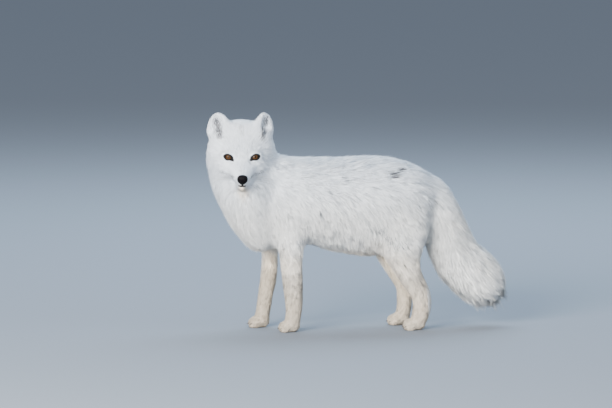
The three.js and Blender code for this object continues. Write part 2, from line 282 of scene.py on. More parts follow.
# ---- Materials --------------------------------------------------------------------------------
class Finish:
    """A material as it is put together, node by node."""

    def __init__(self, name):
        self.material = bpy.data.materials.new(name)
        self.material.use_nodes = True
        self.tree = self.material.node_tree
        self.shader = self.tree.nodes["Principled BSDF"]

    def feed(self, node, sockets):
        """Numbers and colours, or the outputs of other nodes, for a node's input sockets."""
        for socket, value in sockets.items():
            if isinstance(value, bpy.types.NodeSocket):
                self.tree.links.new(value, node.inputs[socket])
            else:
                node.inputs[socket].default_value = value

    def node(self, kind, sockets, **settings):
        node = self.tree.nodes.new("ShaderNode" + kind)
        for key, value in settings.items():
            setattr(node, key, value)
        self.feed(node, sockets)
        return node

    def add(self, kind, sockets, **settings):
        """The first output of a new node."""
        return self.node(kind, sockets, **settings).outputs[0]

    def read(self, name, output):
        """A value that the mesh carries."""
        return self.node("Attribute", {}, attribute_name=name).outputs[output]

    def ramp(self, share, stops):
        node = self.node("ValToRGB", {"Fac": share})
        while len(node.color_ramp.elements) < len(stops):
            node.color_ramp.elements.new(0.5)
        for element, (at, colour) in zip(node.color_ramp.elements, stops):
            element.position = at
            element.color = (*colour, 1)
        return node.outputs["Color"]

    def times(self, colour, other):
        sockets = {"Factor": 1, 6: colour, 7: other}
        return self.node("Mix", sockets, data_type="RGBA", blend_type="MULTIPLY").outputs[2]

    def mixed(self, share, low, high):
        return self.node("Mix", {"Factor": share, 6: low, 7: high}, data_type="RGBA").outputs[2]

    def bump(self, height, strength, depth, **settings):
        sockets = {"Strength": strength, "Distance": depth * MM, "Height": height}
        self.feed(self.shader, {"Normal": self.add("Bump", sockets, **settings)})

    def done(self, **sockets):
        """Sets the shader's own sockets, named with _ for a space, and gives the material."""
        self.feed(self.shader, {key.replace("_", " "): value for key, value in sockets.items()})
        return self.material


FLOOR_WIDTH = 90  # metres, so that no view meets its edge


def floor_paint():
    paint = Finish("floor_paint")
    return paint.done(Base_Color=(0.25, 0.275, 0.31, 1), Roughness=1, Specular_IOR_Level=0)


def make_floor():
    deselect_all()
    bpy.ops.mesh.primitive_plane_add(size=FLOOR_WIDTH, location=(0, 0, 0))
    floor = bpy.context.object
    floor.name = "floor"
    floor.data.materials.append(floor_paint())


make_camera()
make_lights()
make_floor()


# ---- Skin -------------------------------------------------------------------------------------
def join_flesh():
    """All the solids grown together into one closed surface, eyes and nose included."""
    deselect_all()
    copies = []
    for name in (*FLESH_NODES, *BARE_NODES):
        copy = bpy.data.objects.new("flesh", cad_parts[name].data.copy())
        bpy.context.scene.collection.objects.link(copy)
        copy.select_set(True)
        copies.append(copy)
    bpy.context.view_layer.objects.active = copies[0]
    bpy.ops.object.join()
    skin = copies[0]
    skin.name = "skin"
    bpy.ops.object.mode_set(mode="EDIT")
    bpy.ops.mesh.select_all(action="SELECT")
    bpy.ops.mesh.remove_doubles(threshold=0.02 * MM)
    bpy.ops.transform.shrink_fatten(value=JOIN_GROW * MM)
    bpy.ops.object.mode_set(mode="OBJECT")
    apply_modifier(skin, "REMESH", mode="VOXEL", voxel_size=SKIN_VOXEL * MM)
    drop_loose_parts(skin.data)
    return skin


def drop_loose_parts(mesh):
    """Keeps the largest connected part."""
    edges = read_edges(mesh)
    label = np.arange(len(mesh.vertices))
    while True:
        low = np.minimum(label[edges[:, 0]], label[edges[:, 1]])
        fresh = label.copy()
        np.minimum.at(fresh, edges[:, 0], low)
        np.minimum.at(fresh, edges[:, 1], low)
        fresh = fresh[fresh]
        if (fresh == label).all():
            break
        label = fresh
    names, counts = np.unique(label, return_counts=True)
    keep = label == names[counts.argmax()]
    form = bmesh.new()
    form.from_mesh(mesh)
    form.verts.ensure_lookup_table()
    loose = [form.verts[i] for i in np.flatnonzero(~keep)]
    bmesh.ops.delete(form, geom=loose, context="VERTS")
    form.to_mesh(mesh)
    form.free()


def part_weights(points):
    """How much each node of flesh has to do with each point: a row for each point."""
    distance = np.full((len(points), len(FLESH_NODES)), FAR * MM)
    for column, name in enumerate(FLESH_NODES):
        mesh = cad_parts[name].data
        tree = BVHTree.FromPolygons([v.co for v in mesh.vertices], faces_of(mesh))
        low, high = (np.array(corner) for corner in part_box(name))
        near = ((points > low - FAR * MM / 2) & (points < high + FAR * MM / 2)).all(axis=1)
        for i in np.flatnonzero(near):
            distance[i, column] = tree.find_nearest(points[i])[3]
    closer = distance - distance.min(axis=1, keepdims=True)
    weights = np.exp(-closer / (BLEND * MM))
    return weights / weights.sum(axis=1, keepdims=True)


# ---- How the coat lies ------------------------------------------------------------------------
def towards(start, end):
    """The direction from the middle of one node to the middle of another."""
    return unit(centre_of(end) - centre_of(start))


PARTING = (-52, 0, -12)  # the coat of the face runs away from here, in the head's axes
CHEEK_FALL = 55  # how strongly it turns down on the cheeks
NAPE_FALL = 22  # and behind the ears


def off_the_face(points):
    """Back from the nose over the face, falling away down the cheeks."""
    place = head.inside(points)
    lie = place - PARTING
    cheek = smoothstep(18, 48, np.abs(place[:, 1])) * (1 - smoothstep(0, 38, place[:, 2]))
    lie[:, 2] -= CHEEK_FALL * cheek
    lie[:, 2] -= NAPE_FALL * smoothstep(45, 85, place[:, 0])
    return head.turn(unit(lie))


def up_the_ear(points, node):
    corners = read_points(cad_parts[node].data)
    tip = corners[head.inside(corners)[:, 2].argmax()]
    return unit(tip + head.turn((0, 0, 1)) * 8 * MM - points)


FLANK_FALL, BACK_FALL = 82, 9  # degrees that the coat falls low on the flank and on the back


def over_the_trunk(points):
    """Tailwards on the back, and more and more downwards along the flanks."""
    low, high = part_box("belly")
    height = (points[:, 2] - low.z) / (high.z - low.z)
    fall = np.radians(FLANK_FALL + (BACK_FALL - FLANK_FALL) * smoothstep(0.22, 0.97, height))
    return np.column_stack([np.cos(fall), np.zeros(len(points)), -np.sin(fall)])


# Lines that the coat follows, in millimetres from the floor below the middle of the trunk.
RUFF_LINE = [(-197, -20, 310), (-196, -22, 252), (-177, -9, 190), (-152, 0, 138)]
TAIL_LINE = [(102, 0, 253), (145, 2, 200), (161, 4, 161), (176, 5, 124), (202, 7, 97),
             (230, 8, 76), (268, 9, 50)]
LINE_BLEND = 9.0  # how softly one stretch of a line hands over to the next
RUFF_SPREAD = (0.25, 0.25, 0.25)
TAIL_SPREAD = (0.75, 0.2, 0.75)
TAIL_SAG = (0, 0, -0.2)
NAPE_LIE = np.array((0.93, 0.0, -0.36))
THIGH_SWEEP = np.array((0.7, 0.0, 0.0))  # the coat of the upper legs turns tailwards by this
PAW_LIE = (-0.85, 0.0, -0.5)


def along_line(points, line, spread):
    """Down a line through a part, turned outwards from it by spread, along x, y and z."""
    line = (np.array(line, float) + TRUNK_MIDDLE) * MM
    starts, steps = line[:-1], np.diff(line, axis=0)
    ahead = unit(steps)
    offset = points[:, None, :] - starts[None]
    t = np.clip((offset * steps).sum(axis=2) / (steps * steps).sum(axis=1), 0, 1)
    gap = np.linalg.norm(offset - t[..., None] * steps, axis=2)
    weight = np.exp(-gap / (LINE_BLEND * MM))
    weight /= weight.sum(axis=1, keepdims=True)
    direction = unit(weight @ ahead)
    nearest = starts + t[..., None] * steps
    outward = points - (weight[..., None] * nearest).sum(axis=1)
    outward -= direction * (outward * direction).sum(axis=1, keepdims=True)
    return unit(direction + unit(outward) * spread)


def down_the_neck(points):
    """Down the ruff on the throat and sides, back along the nape on top."""
    lie = along_line(points, RUFF_LINE, RUFF_SPREAD)
    nape = smoothstep(-175, -130, points[:, 0] / MM) * smoothstep(235, 285, points[:, 2] / MM)
    nape = nape[:, None]
    return unit(lie * (1 - nape) + nape * NAPE_LIE)


def down_the_leg(points, node):
    side = node[node.rindex("_"):]
    order = ["thigh", "shank", "hind_foot", "hindpaw"]
    if kind_of(node) in ("upper_arm", "forearm"):
        order = ["upper_arm", "forearm", "forepaw"]
    here = order.index(kind_of(node))
    lie = towards(order[here] + side, order[here + 1] + side)
    if here == 0:
        lie = unit(lie + THIGH_SWEEP)
    return np.tile(lie, (len(points), 1))


def lie_on(node, points):
    kind = kind_of(node)
    if kind in ("head", "muzzle", "lower_jaw"):
        return off_the_face(points)
    if kind == "ear":
        return up_the_ear(points, node)
    if kind == "neck":
        return down_the_neck(points)
    if kind in ("chest", "belly", "rump"):
        return over_the_trunk(points)
    if kind in ("tail_root", "tail_brush"):
        return unit(along_line(points, TAIL_LINE, TAIL_SPREAD) + TAIL_SAG)
    if kind in ("forepaw", "hindpaw"):
        return np.tile(unit(PAW_LIE), (len(points), 1))
    return down_the_leg(points, node)


COMBINGS = 8  # rounds that even out the lie of the coat


def comb(points, normals, weights, edges):
    """The lie of the coat at each point of the skin, as a unit direction along it."""
    lie = np.zeros_like(points)
    for column, name in enumerate(FLESH_NODES):
        near = np.flatnonzero(weights[:, column] > 0.01)
        lie[near] += weights[near, column, None] * lie_on(name, points[near])
    for _ in range(COMBINGS):
        lie -= normals * (lie * normals).sum(axis=1, keepdims=True)
        lie = relax(unit(lie), edges, 3)
    lie -= normals * (lie * normals).sum(axis=1, keepdims=True)
    return unit(lie)


def coat_sizes(points, weights, bowl):
    """Depth of the coat, and the length and width of its tufts, at each point, in millimetres."""
    table = np.array([COAT[kind_of(name)] for name in FLESH_NODES])
    sizes = weights @ table
    place = head.inside(points)
    skull = weights[:, FLESH_NODES.index("head")][:, None]
    back = smoothstep(-2, 38, place[:, 0]) * (1 - 0.5 * smoothstep(8, 36, place[:, 2]))
    face_coat = FRONT_OF_FACE + back[:, None] * (BACK_OF_FACE - FRONT_OF_FACE)
    sizes += skull * (face_coat - np.array(COAT["head"]))
    return sizes + bowl[:, None] * EAR_FLUFF


def in_the_ears(normals, weights):
    """How far each point lies in the bowl of an ear."""
    ears = weights[:, [kind_of(name) == "ear" for name in FLESH_NODES]].sum(axis=1)
    return ears * smoothstep(0.1, 0.7, -(normals @ head.axes)[:, 0])


# ---- Skin under the coat ----------------------------------------------------------------------
FLESH_SMOOTHING = 40  # rounds that blur the solids' edges where the table says so
COAT_SMOOTHING = 12
THICKEST = 0.2  # metres of flesh, where nothing is found behind a place
SOFTENED = {"neck": 1, "chest": 1, "belly": 1, "rump": 1, "tail_root": 1, "tail_brush": 1,
            "thigh": 1, "upper_arm": 0.8, "shank": 0.3, "forearm": 0.3, "head": 0.35}


def local_thickness(points, normals, tree):
    """How thick the flesh is below each point."""
    thick = np.full(len(points), THICKEST)
    for i, (point, normal) in enumerate(zip(points, normals)):
        inward = Vector(-normal)
        hit = tree.ray_cast(Vector(point) + inward * 0.5 * MM, inward)
        if hit[0] is not None:
            thick[i] = hit[3]
    return thick / MM


def make_skin():
    skin = join_flesh()
    mesh = skin.data
    apply_modifier(skin, "SMOOTH", factor=0.5, iterations=4)
    edges = read_edges(mesh)
    points = read_points(mesh)
    weights = relax(part_weights(points), edges, 4)
    soft = weights @ np.array([SOFTENED.get(kind_of(name), 0.0) for name in FLESH_NODES])
    smooth = relax(points, edges, FLESH_SMOOTHING)
    points += soft[:, None] * (smooth - points)
    write_points(mesh, points)
    normals = read_normals(mesh)
    lie = comb(points, normals, weights, edges)
    bowl = in_the_ears(normals, weights)
    points += normals * (bowl * EAR_FILL * MM)[:, None]
    sizes = coat_sizes(points, weights, bowl)
    tree = BVHTree.FromPolygons(points.tolist(), faces_of(mesh))
    deepest = MOST_COAT * local_thickness(points, normals, tree)
    sizes[:, 0] = relax(np.minimum(sizes[:, 0], deepest), edges, COAT_SMOOTHING)
    skin_points = relax(points - normals * sizes[:, :1] * MM, edges, 2, 0.4)
    set_attribute(mesh, "tips", "FLOAT_VECTOR", points)
    set_attribute(mesh, "lie", "FLOAT_VECTOR", lie)
    set_attribute(mesh, "sizes", "FLOAT_VECTOR", sizes)
    parts = weights.argmax(axis=1)
    write_points(mesh, skin_points)
    return skin, tree, parts, faces_of(mesh)


skin, tips_tree, part_of_point, coarse_faces = make_skin()


# ---- Face -------------------------------------------------------------------------------------
# Millimetres in the head's axes: x backwards, y to its right, z up.
LEFT, RIGHT = -1, 1
EYE_SPLAY = math.radians(17)  # how far each eye looks to its own side
EYE_SLANT = math.radians(11)  # the outer corner is higher
EYE_RISE = 0.2  # how far the opening looks up, as a slope
EYE_SINK = 1.2  # how far the eyeball sits behind the solid that it replaces
EYE_DROP = 0.8  # and how far below it
EYE_OPEN = (6.6, 4.4, 4.0)  # half width, and reach of the opening above and below
EYE_POINT = 1.7  # 2 makes the opening an oval, and less makes its corners more pointed
LID = 1.1  # thickness of the lids over the eyeball
RIM = 1.9  # width of the bare black skin round the opening
DUCT = ((-4.2, -1.5), (-9.2, -3.4))  # the bare corner that runs in and down from the eye
DUCT_WIDTH = (1.5, 0.5)
LID_SPREAD = (0.8, 8.0)  # from the opening, over which the lid runs out into the face
SOCKET_DEPTH = (2.3, 2.5)  # two steps down inside the rim
DUCT_DEPTH = 0.9
BRIM = 0.35  # how far the rim itself stands up
EYE_PARTING = (1.7, 4.5)  # how strongly, and over what distance, the coat turns from the eye
LIP_PARTING = (3.5, 3.0)  # and from the lips in front
LIP_DROOP = 0.045  # how the mouth curves down to its corners
LIP_GROOVE = (0.4, 1.2, 1.3)  # depth all along, more of it in front, and half width
LEAST_TUFT = (0.35, 1.5, 0.42)  # depth, length and width beside bare skin
BARE_EDGE = 0.4  # bare skin round the nose and along the lips
BARE_LIPS = 1.3  # and more of it on the lips in front
EYE_DETAIL = (19, 14, 11.5)  # within these of an eye the skin is cut finer, once for each
LIP_DETAIL = (6, 3)  # and within these of the line of the mouth
LIP_LINE = [(-45, 0, -38.3), (-40, 5.5, -39.5), (-34, 8.2, -41.2), (-27, 10.3, -43.2), (-20, 13.6, -44.8),
            (-8, 18, -44)]
PHILTRUM = [(-53, 0, -32), (-47, 0, -35.5), (-45, 0, -38.3)]
MOUTH = (-30, 7.5, -38.3)  # furthest back, half width and height of the dark lips in front
NOSE_BED = (8.2, 7.0)  # least half width and half height of the muzzle behind the nose
NOSE_BED_HEIGHT = -25.3
NOSE_REACH = (6.6, 9.2, 8.9)  # half depth, width and height of the bare nose
NOSE_SET_BACK = 1.6
NOSE_LOWER = 0.7  # than the middle of the solid that it replaces


class Eye:
    """One eye's own axes: u from the inner corner outwards, v up, w out of the head."""

    def __init__(self, node, side):
        self.node = node
        out = unit((-math.cos(EYE_SPLAY), side * math.sin(EYE_SPLAY), EYE_RISE))
        self.centre = head.inside(centre_of(node)) - out * EYE_SINK - (0, 0, EYE_DROP)
        lateral = np.array((0.0, float(side), 0.0))
        lateral = unit(lateral - out * lateral.dot(out))
        up = np.cross(out, lateral) * -side
        up *= np.sign(up[2])
        u = lateral * math.cos(EYE_SLANT) + up * math.sin(EYE_SLANT)
        v = up * math.cos(EYE_SLANT) - lateral * math.sin(EYE_SLANT)
        self.axes = np.column_stack([u, v, out])

    def inside(self, places):
        return (places - self.centre) @ self.axes

    def outside(self, places):
        return self.centre + places @ self.axes.T


def from_opening(u, v):
    """Millimetres outside the rim of the eye's opening, negative inside it."""
    wide, above, below = EYE_OPEN
    high = np.where(v > 0, above, below)
    oval = (np.abs(u / wide) ** EYE_POINT + np.abs(v / high) ** EYE_POINT) ** (1 / EYE_POINT)
    oval = (oval - 1) * above
    (u0, v0), (u1, v1) = DUCT
    step = np.array((u1 - u0, v1 - v0))
    t = np.clip(((u - u0) * step[0] + (v - v0) * step[1]) / step.dot(step), 0, 1)
    reach = DUCT_WIDTH[0] + t * (DUCT_WIDTH[1] - DUCT_WIDTH[0])
    duct = np.hypot(u - u0 - t * step[0], v - v0 - t * step[1]) - reach
    return np.minimum(oval, duct)


def shape_lids(places, eye):
    """Moves the skin round one eye: lids over the ball, a rim, and a hollow behind the ball."""
    local = eye.inside(places)
    u, v, w = local.T
    gap = from_opening(u, v)
    off = np.hypot(u, v)
    near = (off < 18) & (w > -5)
    shell = np.sqrt((EYE_RADIUS + LID) ** 2 - np.minimum(off, 8.2) ** 2)
    over = 1 - smoothstep(*LID_SPREAD, gap)
    lid = w + over * (shell - w)
    socket = shell - SOCKET_DEPTH[0] * smoothstep(0.0, 1.3, -gap)
    socket = socket - SOCKET_DEPTH[1] * smoothstep(1.3, 4.0, -gap)
    duct = (np.hypot(u / EYE_OPEN[0], v / EYE_OPEN[1]) > 1.05) & (gap < 0)
    socket = np.where(duct, shell - DUCT_DEPTH * smoothstep(0.0, 0.7, -gap), socket)
    brim = BRIM * np.exp(-((gap - 0.4) / 0.7) ** 2)
    fresh = np.where(gap > 0, lid, socket) + brim
    local[:, 2] = np.where(near, fresh, w)
    return eye.outside(local), np.where(near, gap, 99.0)


def from_line(places, line):
    """Distance from a line of points."""
    line = np.asarray(line, float)
    starts, steps = line[:-1], np.diff(line, axis=0)
    offset = places[:, None, :] - starts[None]
    t = np.clip((offset * steps).sum(axis=2) / (steps * steps).sum(axis=1), 0, 1)
    return np.linalg.norm(offset - t[..., None] * steps, axis=2).min(axis=1)


def laid_on_skin(line, tree):
    """A line in the head's axes moved onto the skin."""
    fine = []
    for start, end in zip(line[:-1], line[1:]):
        for t in np.linspace(0, 1, 5)[:-1]:
            fine.append(np.array(start) * (1 - t) + np.array(end) * t)
    fine.append(np.array(line[-1], float))
    found = [tree.find_nearest(place)[0] for place in head.world(fine).tolist()]
    return head.inside(np.array(found))


def subdivide_near(skin, wanted, cuts=1):
    """Cuts the faces for which wanted says yes, by the head-axes places of their middles."""
    activate(skin)
    mesh = skin.data
    chosen = wanted(head.inside(read_rows(mesh.polygons, "center", 3)))
    bpy.ops.object.mode_set(mode="EDIT")
    bpy.ops.mesh.select_mode(type="FACE")
    bpy.ops.mesh.select_all(action="DESELECT")
    bpy.ops.object.mode_set(mode="OBJECT")
    mesh.polygons.foreach_set("select", chosen)
    bpy.ops.object.mode_set(mode="EDIT")
    bpy.ops.mesh.subdivide(number_cuts=cuts)
    bpy.ops.object.mode_set(mode="OBJECT")


def seat_nose(places):
    """Fills the end of the muzzle out to the width of the nose that sits on it."""
    x, y, z = places.T
    rise = z - NOSE_BED_HEIGHT
    reach = np.hypot(y / NOSE_BED[0], rise / NOSE_BED[1])
    fuller = 1 / np.clip(reach, 0.35, 1)
    there = smoothstep(-33, -42, x) * (1 - smoothstep(-51, -54, x))
    grow = 1 + there * (fuller - 1)
    return np.column_stack([x, y * grow, NOSE_BED_HEIGHT + rise * grow])


def nose_middle():
    return head.inside(centre_of("nose_pad")) + (NOSE_SET_BACK, 0, -NOSE_LOWER)


def from_nose(places):
    """Millimetres outside the bare nose."""
    return (np.linalg.norm((places - nose_middle()) / NOSE_REACH, axis=1) - 1) * NOSE_REACH[0]


def from_lips(places):
    """Distance from the dark line of the lips at the front of the muzzle."""
    back, half, height = MOUTH
    x, y, z = places.T
    droop = LIP_DROOP * y**2
    off = [np.maximum(x - back, 0), np.maximum(np.abs(y) - half, 0), z - height + droop]
    return np.linalg.norm(off, axis=0)


def folded(places):
    """Both halves of the face laid over its right half."""
    return places * (1, 0, 1) + (0, 1, 0) * np.abs(places)


def part_the_coat(mesh, places, eyes, gaps, lips, front):
    """Turns the lie of the coat away from the eyes and the lips."""
    lie = get_attribute(mesh, "lie")
    normals = read_normals(mesh)
    for eye, gap in zip(eyes, gaps):
        local = eye.inside(places) * (1, 1, 0)
        push = EYE_PARTING[0] * np.exp(-np.maximum(gap, 0) / EYE_PARTING[1])
        lie += push[:, None] * head.turn(unit(local) @ eye.axes.T)
    middle = np.interp(places[:, 0], [p[0] for p in LIP_LINE], [p[2] for p in LIP_LINE])
    push = LIP_PARTING[0] * front * np.exp(-lips / LIP_PARTING[1]) * np.sign(places[:, 2] - middle)
    lie += push[:, None] * head.turn((0, 0, 1))
    lie -= normals * (lie * normals).sum(axis=1, keepdims=True)
    set_attribute(mesh, "lie", "FLOAT_VECTOR", unit(lie))


def thinned(sizes, bare):
    """The sizes of the coat, less and less towards bare skin."""
    keep = np.clip(0.12 + 0.1 * np.maximum(bare, 0), 0, 1)
    near = bare < 12
    for k, share in enumerate((keep, np.sqrt(keep), np.sqrt(keep))):
        sizes[:, k] = np.where(near, np.maximum(sizes[:, k] * share, LEAST_TUFT[k]), sizes[:, k])
    return sizes


def shape_face(skin, eyes):
    """Lids, lips and the groove under the nose, with how bare and dark the skin is there."""
    def near_an_eye(limit):
        return lambda places: np.min(
            [np.linalg.norm(places - eye.centre, axis=1) for eye in eyes], axis=0) < limit

    def near_the_mouth(limit):
        return lambda places: from_line(folded(places), mouth) < limit

    tree = BVHTree.FromPolygons(read_points(skin.data).tolist(), faces_of(skin.data))
    mouth = np.vstack([laid_on_skin(PHILTRUM, tree), laid_on_skin(LIP_LINE, tree)[1:]])
    wide, middle, close_by = EYE_DETAIL
    wide_lips, close_lips = LIP_DETAIL
    subdivide_near(skin, lambda places: near_an_eye(wide)(places) | near_the_mouth(wide_lips)(places))
    subdivide_near(skin, lambda places: near_an_eye(middle)(places) | near_the_mouth(close_lips)(places))
    subdivide_near(skin, near_an_eye(close_by))
    mesh = skin.data
    places = seat_nose(head.inside(read_points(mesh)))
    gaps = []
    for eye in eyes:
        places, here = shape_lids(places, eye)
        gaps.append(here)
    gap = np.min(gaps, axis=0)
    lips = np.minimum(from_line(folded(places), mouth), from_lips(places))
    write_points(mesh, head.world(places))
    inward = -read_normals(mesh) @ head.axes
    front = 1 - smoothstep(7, 11, np.abs(places[:, 1]))
    front *= 1 - smoothstep(-30, -20, places[:, 0])
    everywhere, more, width = LIP_GROOVE
    places = places + inward * ((everywhere + more * front) * np.exp(-((lips / width) ** 2)))[:, None]
    points = head.world(places)
    write_points(mesh, points)
    part_the_coat(mesh, places, eyes, gaps, lips, front)
    bare = np.minimum(gap - RIM, lips - BARE_EDGE - BARE_LIPS * front)
    bare = np.minimum(bare, from_nose(places) - BARE_EDGE)
    sizes = thinned(get_attribute(mesh, "sizes"), bare)
    tips = get_attribute(mesh, "tips")
    bed = smoothstep(-30, -38, places[:, 0]) * (np.abs(places[:, 1]) < 16)
    close = np.maximum(1 - smoothstep(6, 14, bare), bed)[:, None]
    tips += close * (points + read_normals(mesh) * sizes[:, :1] * MM - tips)
    set_attribute(mesh, "sizes", "FLOAT_VECTOR", sizes)
    set_attribute(mesh, "tips", "FLOAT_VECTOR", tips)
    dark = np.maximum(1 - smoothstep(RIM - 0.3, RIM + 0.5, gap), (1 - smoothstep(1.2, 1.9, lips)) * front)
    dark = np.maximum(dark, 1 - smoothstep(-0.3, 0.5, from_nose(places)))
    set_attribute(mesh, "bare", "FLOAT", bare)
    set_attribute(mesh, "dark", "FLOAT", dark)


eyes = [Eye("eye_left", LEFT), Eye("eye_right", RIGHT)]
shape_face(skin, eyes)


# ---- Eyes and nose ----------------------------------------------------------------------------
PUPIL = (1.1, 1.6)  # half width and half height of the pupil
GAZE = 0.65  # how far the eyes turn to the viewer
CORNEA = 0.6  # how far the clear front stands out
CORNEA_REACH = 5.8  # radius of that front


def finish_piece(piece, name, material, slot, *nodes):
    piece.name = name
    piece.data.name = name
    piece.data.materials.clear()
    piece.data.materials.append(material)
    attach(piece, "root")
    if nodes:
        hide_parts(*nodes)


def new_ball(segments, rings):
    deselect_all()
    bpy.ops.mesh.primitive_uv_sphere_add(segments=segments, ring_count=rings, radius=1)
    bpy.ops.object.shade_smooth()
    return bpy.context.object


def make_eye(eye, look, material):
    """A ball with a bulging cornea, turned to look where the fox looks."""
    ball = new_ball(64, 48)
    form = read_points(ball.data)
    ahead = form[:, 2]
    ring = np.hypot(form[:, 0], form[:, 1]) * EYE_RADIUS
    bulge = CORNEA * np.clip(1 - (ring / CORNEA_REACH) ** 2, 0, 1) * (ahead > 0)
    upright = unit(np.array((0.0, 0.0, 1.0)) - look * look[2])
    across = np.cross(upright, look)
    turned = np.column_stack([across, upright, look])
    places = form * (EYE_RADIUS + bulge)[:, None] @ turned.T
    write_points(ball.data, head.world(eye.centre + places))
    set_attribute(ball.data, "iris", "FLOAT_VECTOR", form * EYE_RADIUS)
    finish_piece(ball, eye.node + "_ball", material, "eye", eye.node)


# From the middle of the pupil to the edge of the ball: the amber, its dark rim and the white.
IRIS_STOPS = (
    (0.0, (0.025, 0.012, 0.005)), (0.20, (0.055, 0.027, 0.010)), (0.38, (0.062, 0.030, 0.0115)),
    (0.50, (0.05, 0.024, 0.010)), (0.60, (0.018, 0.009, 0.005)), (0.68, (0.008, 0.006, 0.005)),
    (1.0, (0.012, 0.009, 0.008)))
SPOKE_STOPS = ((0.3, (0.55, 0.5, 0.45)), (0.7, (1.25, 1.2, 1.1)))


def eye_glass():
    """Amber iris with a dark rim, fine spokes and a small upright pupil, under a wet cornea."""
    glass = Finish("eye_glass")
    apart = glass.node("SeparateXYZ", {0: glass.read("iris", "Vector")})
    x, y = apart.outputs["X"], apart.outputs["Y"]
    flat = glass.add("CombineXYZ", {"X": x, "Y": y})
    radius = glass.node("VectorMath", {0: flat}, operation="LENGTH").outputs["Value"]
    share = glass.add("Math", {0: radius, 1: EYE_RADIUS}, operation="DIVIDE")
    iris = glass.ramp(share, IRIS_STOPS)
    angle = glass.add("Math", {0: y, 1: x}, operation="ARCTAN2")
    spokes_at = glass.add("CombineXYZ", {"X": angle, "Y": share})
    spokes = glass.add("TexNoise", {"Scale": 9.0, "Detail": 3.0, "Vector": spokes_at})
    spoked = glass.times(iris, glass.ramp(spokes, SPOKE_STOPS))
    upright = (1 / PUPIL[0], 1 / PUPIL[1], 0)
    squash = glass.add("VectorMath", {0: flat, 1: upright}, operation="MULTIPLY")
    pupil = glass.node("VectorMath", {0: squash}, operation="LENGTH").outputs["Value"]
    sockets = {"From Min": 0.85, "From Max": 1.15, "Value": pupil}
    edge = glass.add("MapRange", sockets, interpolation_type="SMOOTHSTEP")
    colour = glass.mixed(edge, (0.002, 0.002, 0.002, 1), spoked)
    return glass.done(Base_Color=colour, Roughness=0.08, Specular_IOR_Level=0.13)


NOSTRILS = (((-0.84, 0.5, -0.08), 2.0, 1.9), ((-0.56, 0.84, -0.22), 1.3, 1.3))  # towards, depth, radius
NOSE_ROUNDNESS = 0.86  # 1 makes the pad an egg, and less makes it boxier
NOSE_TAPER = 0.26  # how much narrower it is below
NOSE_FLATNESS = 0.08  # how much lower its top is than a dome
NOSE_TUCK = 2.2  # how far its underside draws back
NOSE_GROOVE = (0.45, 0.7)  # half width and depth of the line down the middle


def make_nose(material):
    """A rounded pad, wide above, with comma-shaped nostrils and a groove down the middle."""
    nose = new_ball(96, 64)
    form = read_points(nose.data)
    way = form.copy()
    form = np.sign(form) * np.abs(form) ** NOSE_ROUNDNESS
    form[:, 1] *= 1 - NOSE_TAPER * smoothstep(0.1, -0.9, form[:, 2])
    form[:, 2] *= 1 - NOSE_FLATNESS * smoothstep(0.4, 1.0, form[:, 2])
    places = form * NOSE_REACH
    places[:, 0] += NOSE_TUCK * smoothstep(0.1, -1.0, form[:, 2]) * (form[:, 0] < 0)
    for side in (LEFT, RIGHT):
        for (x, y, z), depth, radius in NOSTRILS:
            aim_at = unit((x, y * side, z))
            off = np.arccos(np.clip(way @ aim_at, -1, 1)) * 7.2
            places -= way * (depth * np.exp(-((off / radius) ** 2)) * 1.15)[:, None]
            places += way * (0.35 * np.exp(-(((off - radius - 0.9) / 0.7) ** 2)))[:, None]
    groove = np.exp(-((places[:, 1] / NOSE_GROOVE[0]) ** 2)) * (way[:, 0] < 0)
    groove *= smoothstep(0.45, -0.1, way[:, 2])
    places -= way * (NOSE_GROOVE[1] * groove)[:, None]
    write_points(nose.data, head.world(places + nose_middle()))
    finish_piece(nose, "nose", material, "nose", "nose_pad")


def nose_leather():
    """Bare black skin, pebbled and a little damp."""
    leather = Finish("nose_leather")
    where = leather.node("TexCoord", {}).outputs["Object"]
    pebbles = leather.add("TexVoronoi", {"Scale": 1500, "Vector": where})
    tint = leather.ramp(pebbles, ((0.0, (0.006, 0.005, 0.006)), (1.0, (0.0025, 0.002, 0.0025))))
    leather.bump(pebbles, 0.5, 0.2, invert=True)
    return leather.done(Base_Color=tint, Roughness=0.55, Specular_IOR_Level=0.06)


def look_of(eye):
    """Between straight out of the lids and whoever stands at the camera."""
    camera = np.array(bpy.context.scene.camera.location)
    viewer = unit((camera - head.world(eye.centre)) @ head.axes)
    return unit(GAZE * viewer + (1 - GAZE) * eye.axes[:, 2])


glass = eye_glass()
for eye in eyes:
    make_eye(eye, look_of(eye), glass)
make_nose(nose_leather())


# ---- Claws ------------------------------------------------------------------------------------
PAWS = ("forepaw_left", "forepaw_right", "hindpaw_left", "hindpaw_right")
TOES = ((-0.66, 3.4), (-0.23, 0.0), (0.23, 0.0), (0.66, 3.4))  # across the paw, and set back
TOE_SPREAD = 15.5  # from the middle of the paw to where the outermost toe would be
CLAW_RADIUS = 1.5
CLAW_LINE = ((6.5, 7.4), (2.5, 7.8), (-0.4, 6.0), (-2.0, 3.0))  # back from the toe's end, and up


def shape_claw(toe, setback, paw):
    """A curved horn cone that comes out of the end of a toe."""
    low, high = (np.array(corner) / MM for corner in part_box(paw))
    claw = new_ball(12, 12)
    form = read_points(claw.data)
    t = (1 - form[:, 2]) / 2
    rows = np.array(CLAW_LINE)
    knots = np.linspace(0, 1, len(rows))
    back, up = (np.interp(t, knots, rows[:, k]) for k in (0, 1))
    thick = CLAW_RADIUS * (1 - 0.72 * t)
    middle = (low[1] + high[1]) / 2
    places = np.column_stack([
        low[0] + setback + back + 0.5 * form[:, 0] * thick,
        middle + toe * TOE_SPREAD + 0.8 * form[:, 1] * thick,
        up + form[:, 0] * thick])
    write_points(claw.data, places * MM)
    return claw


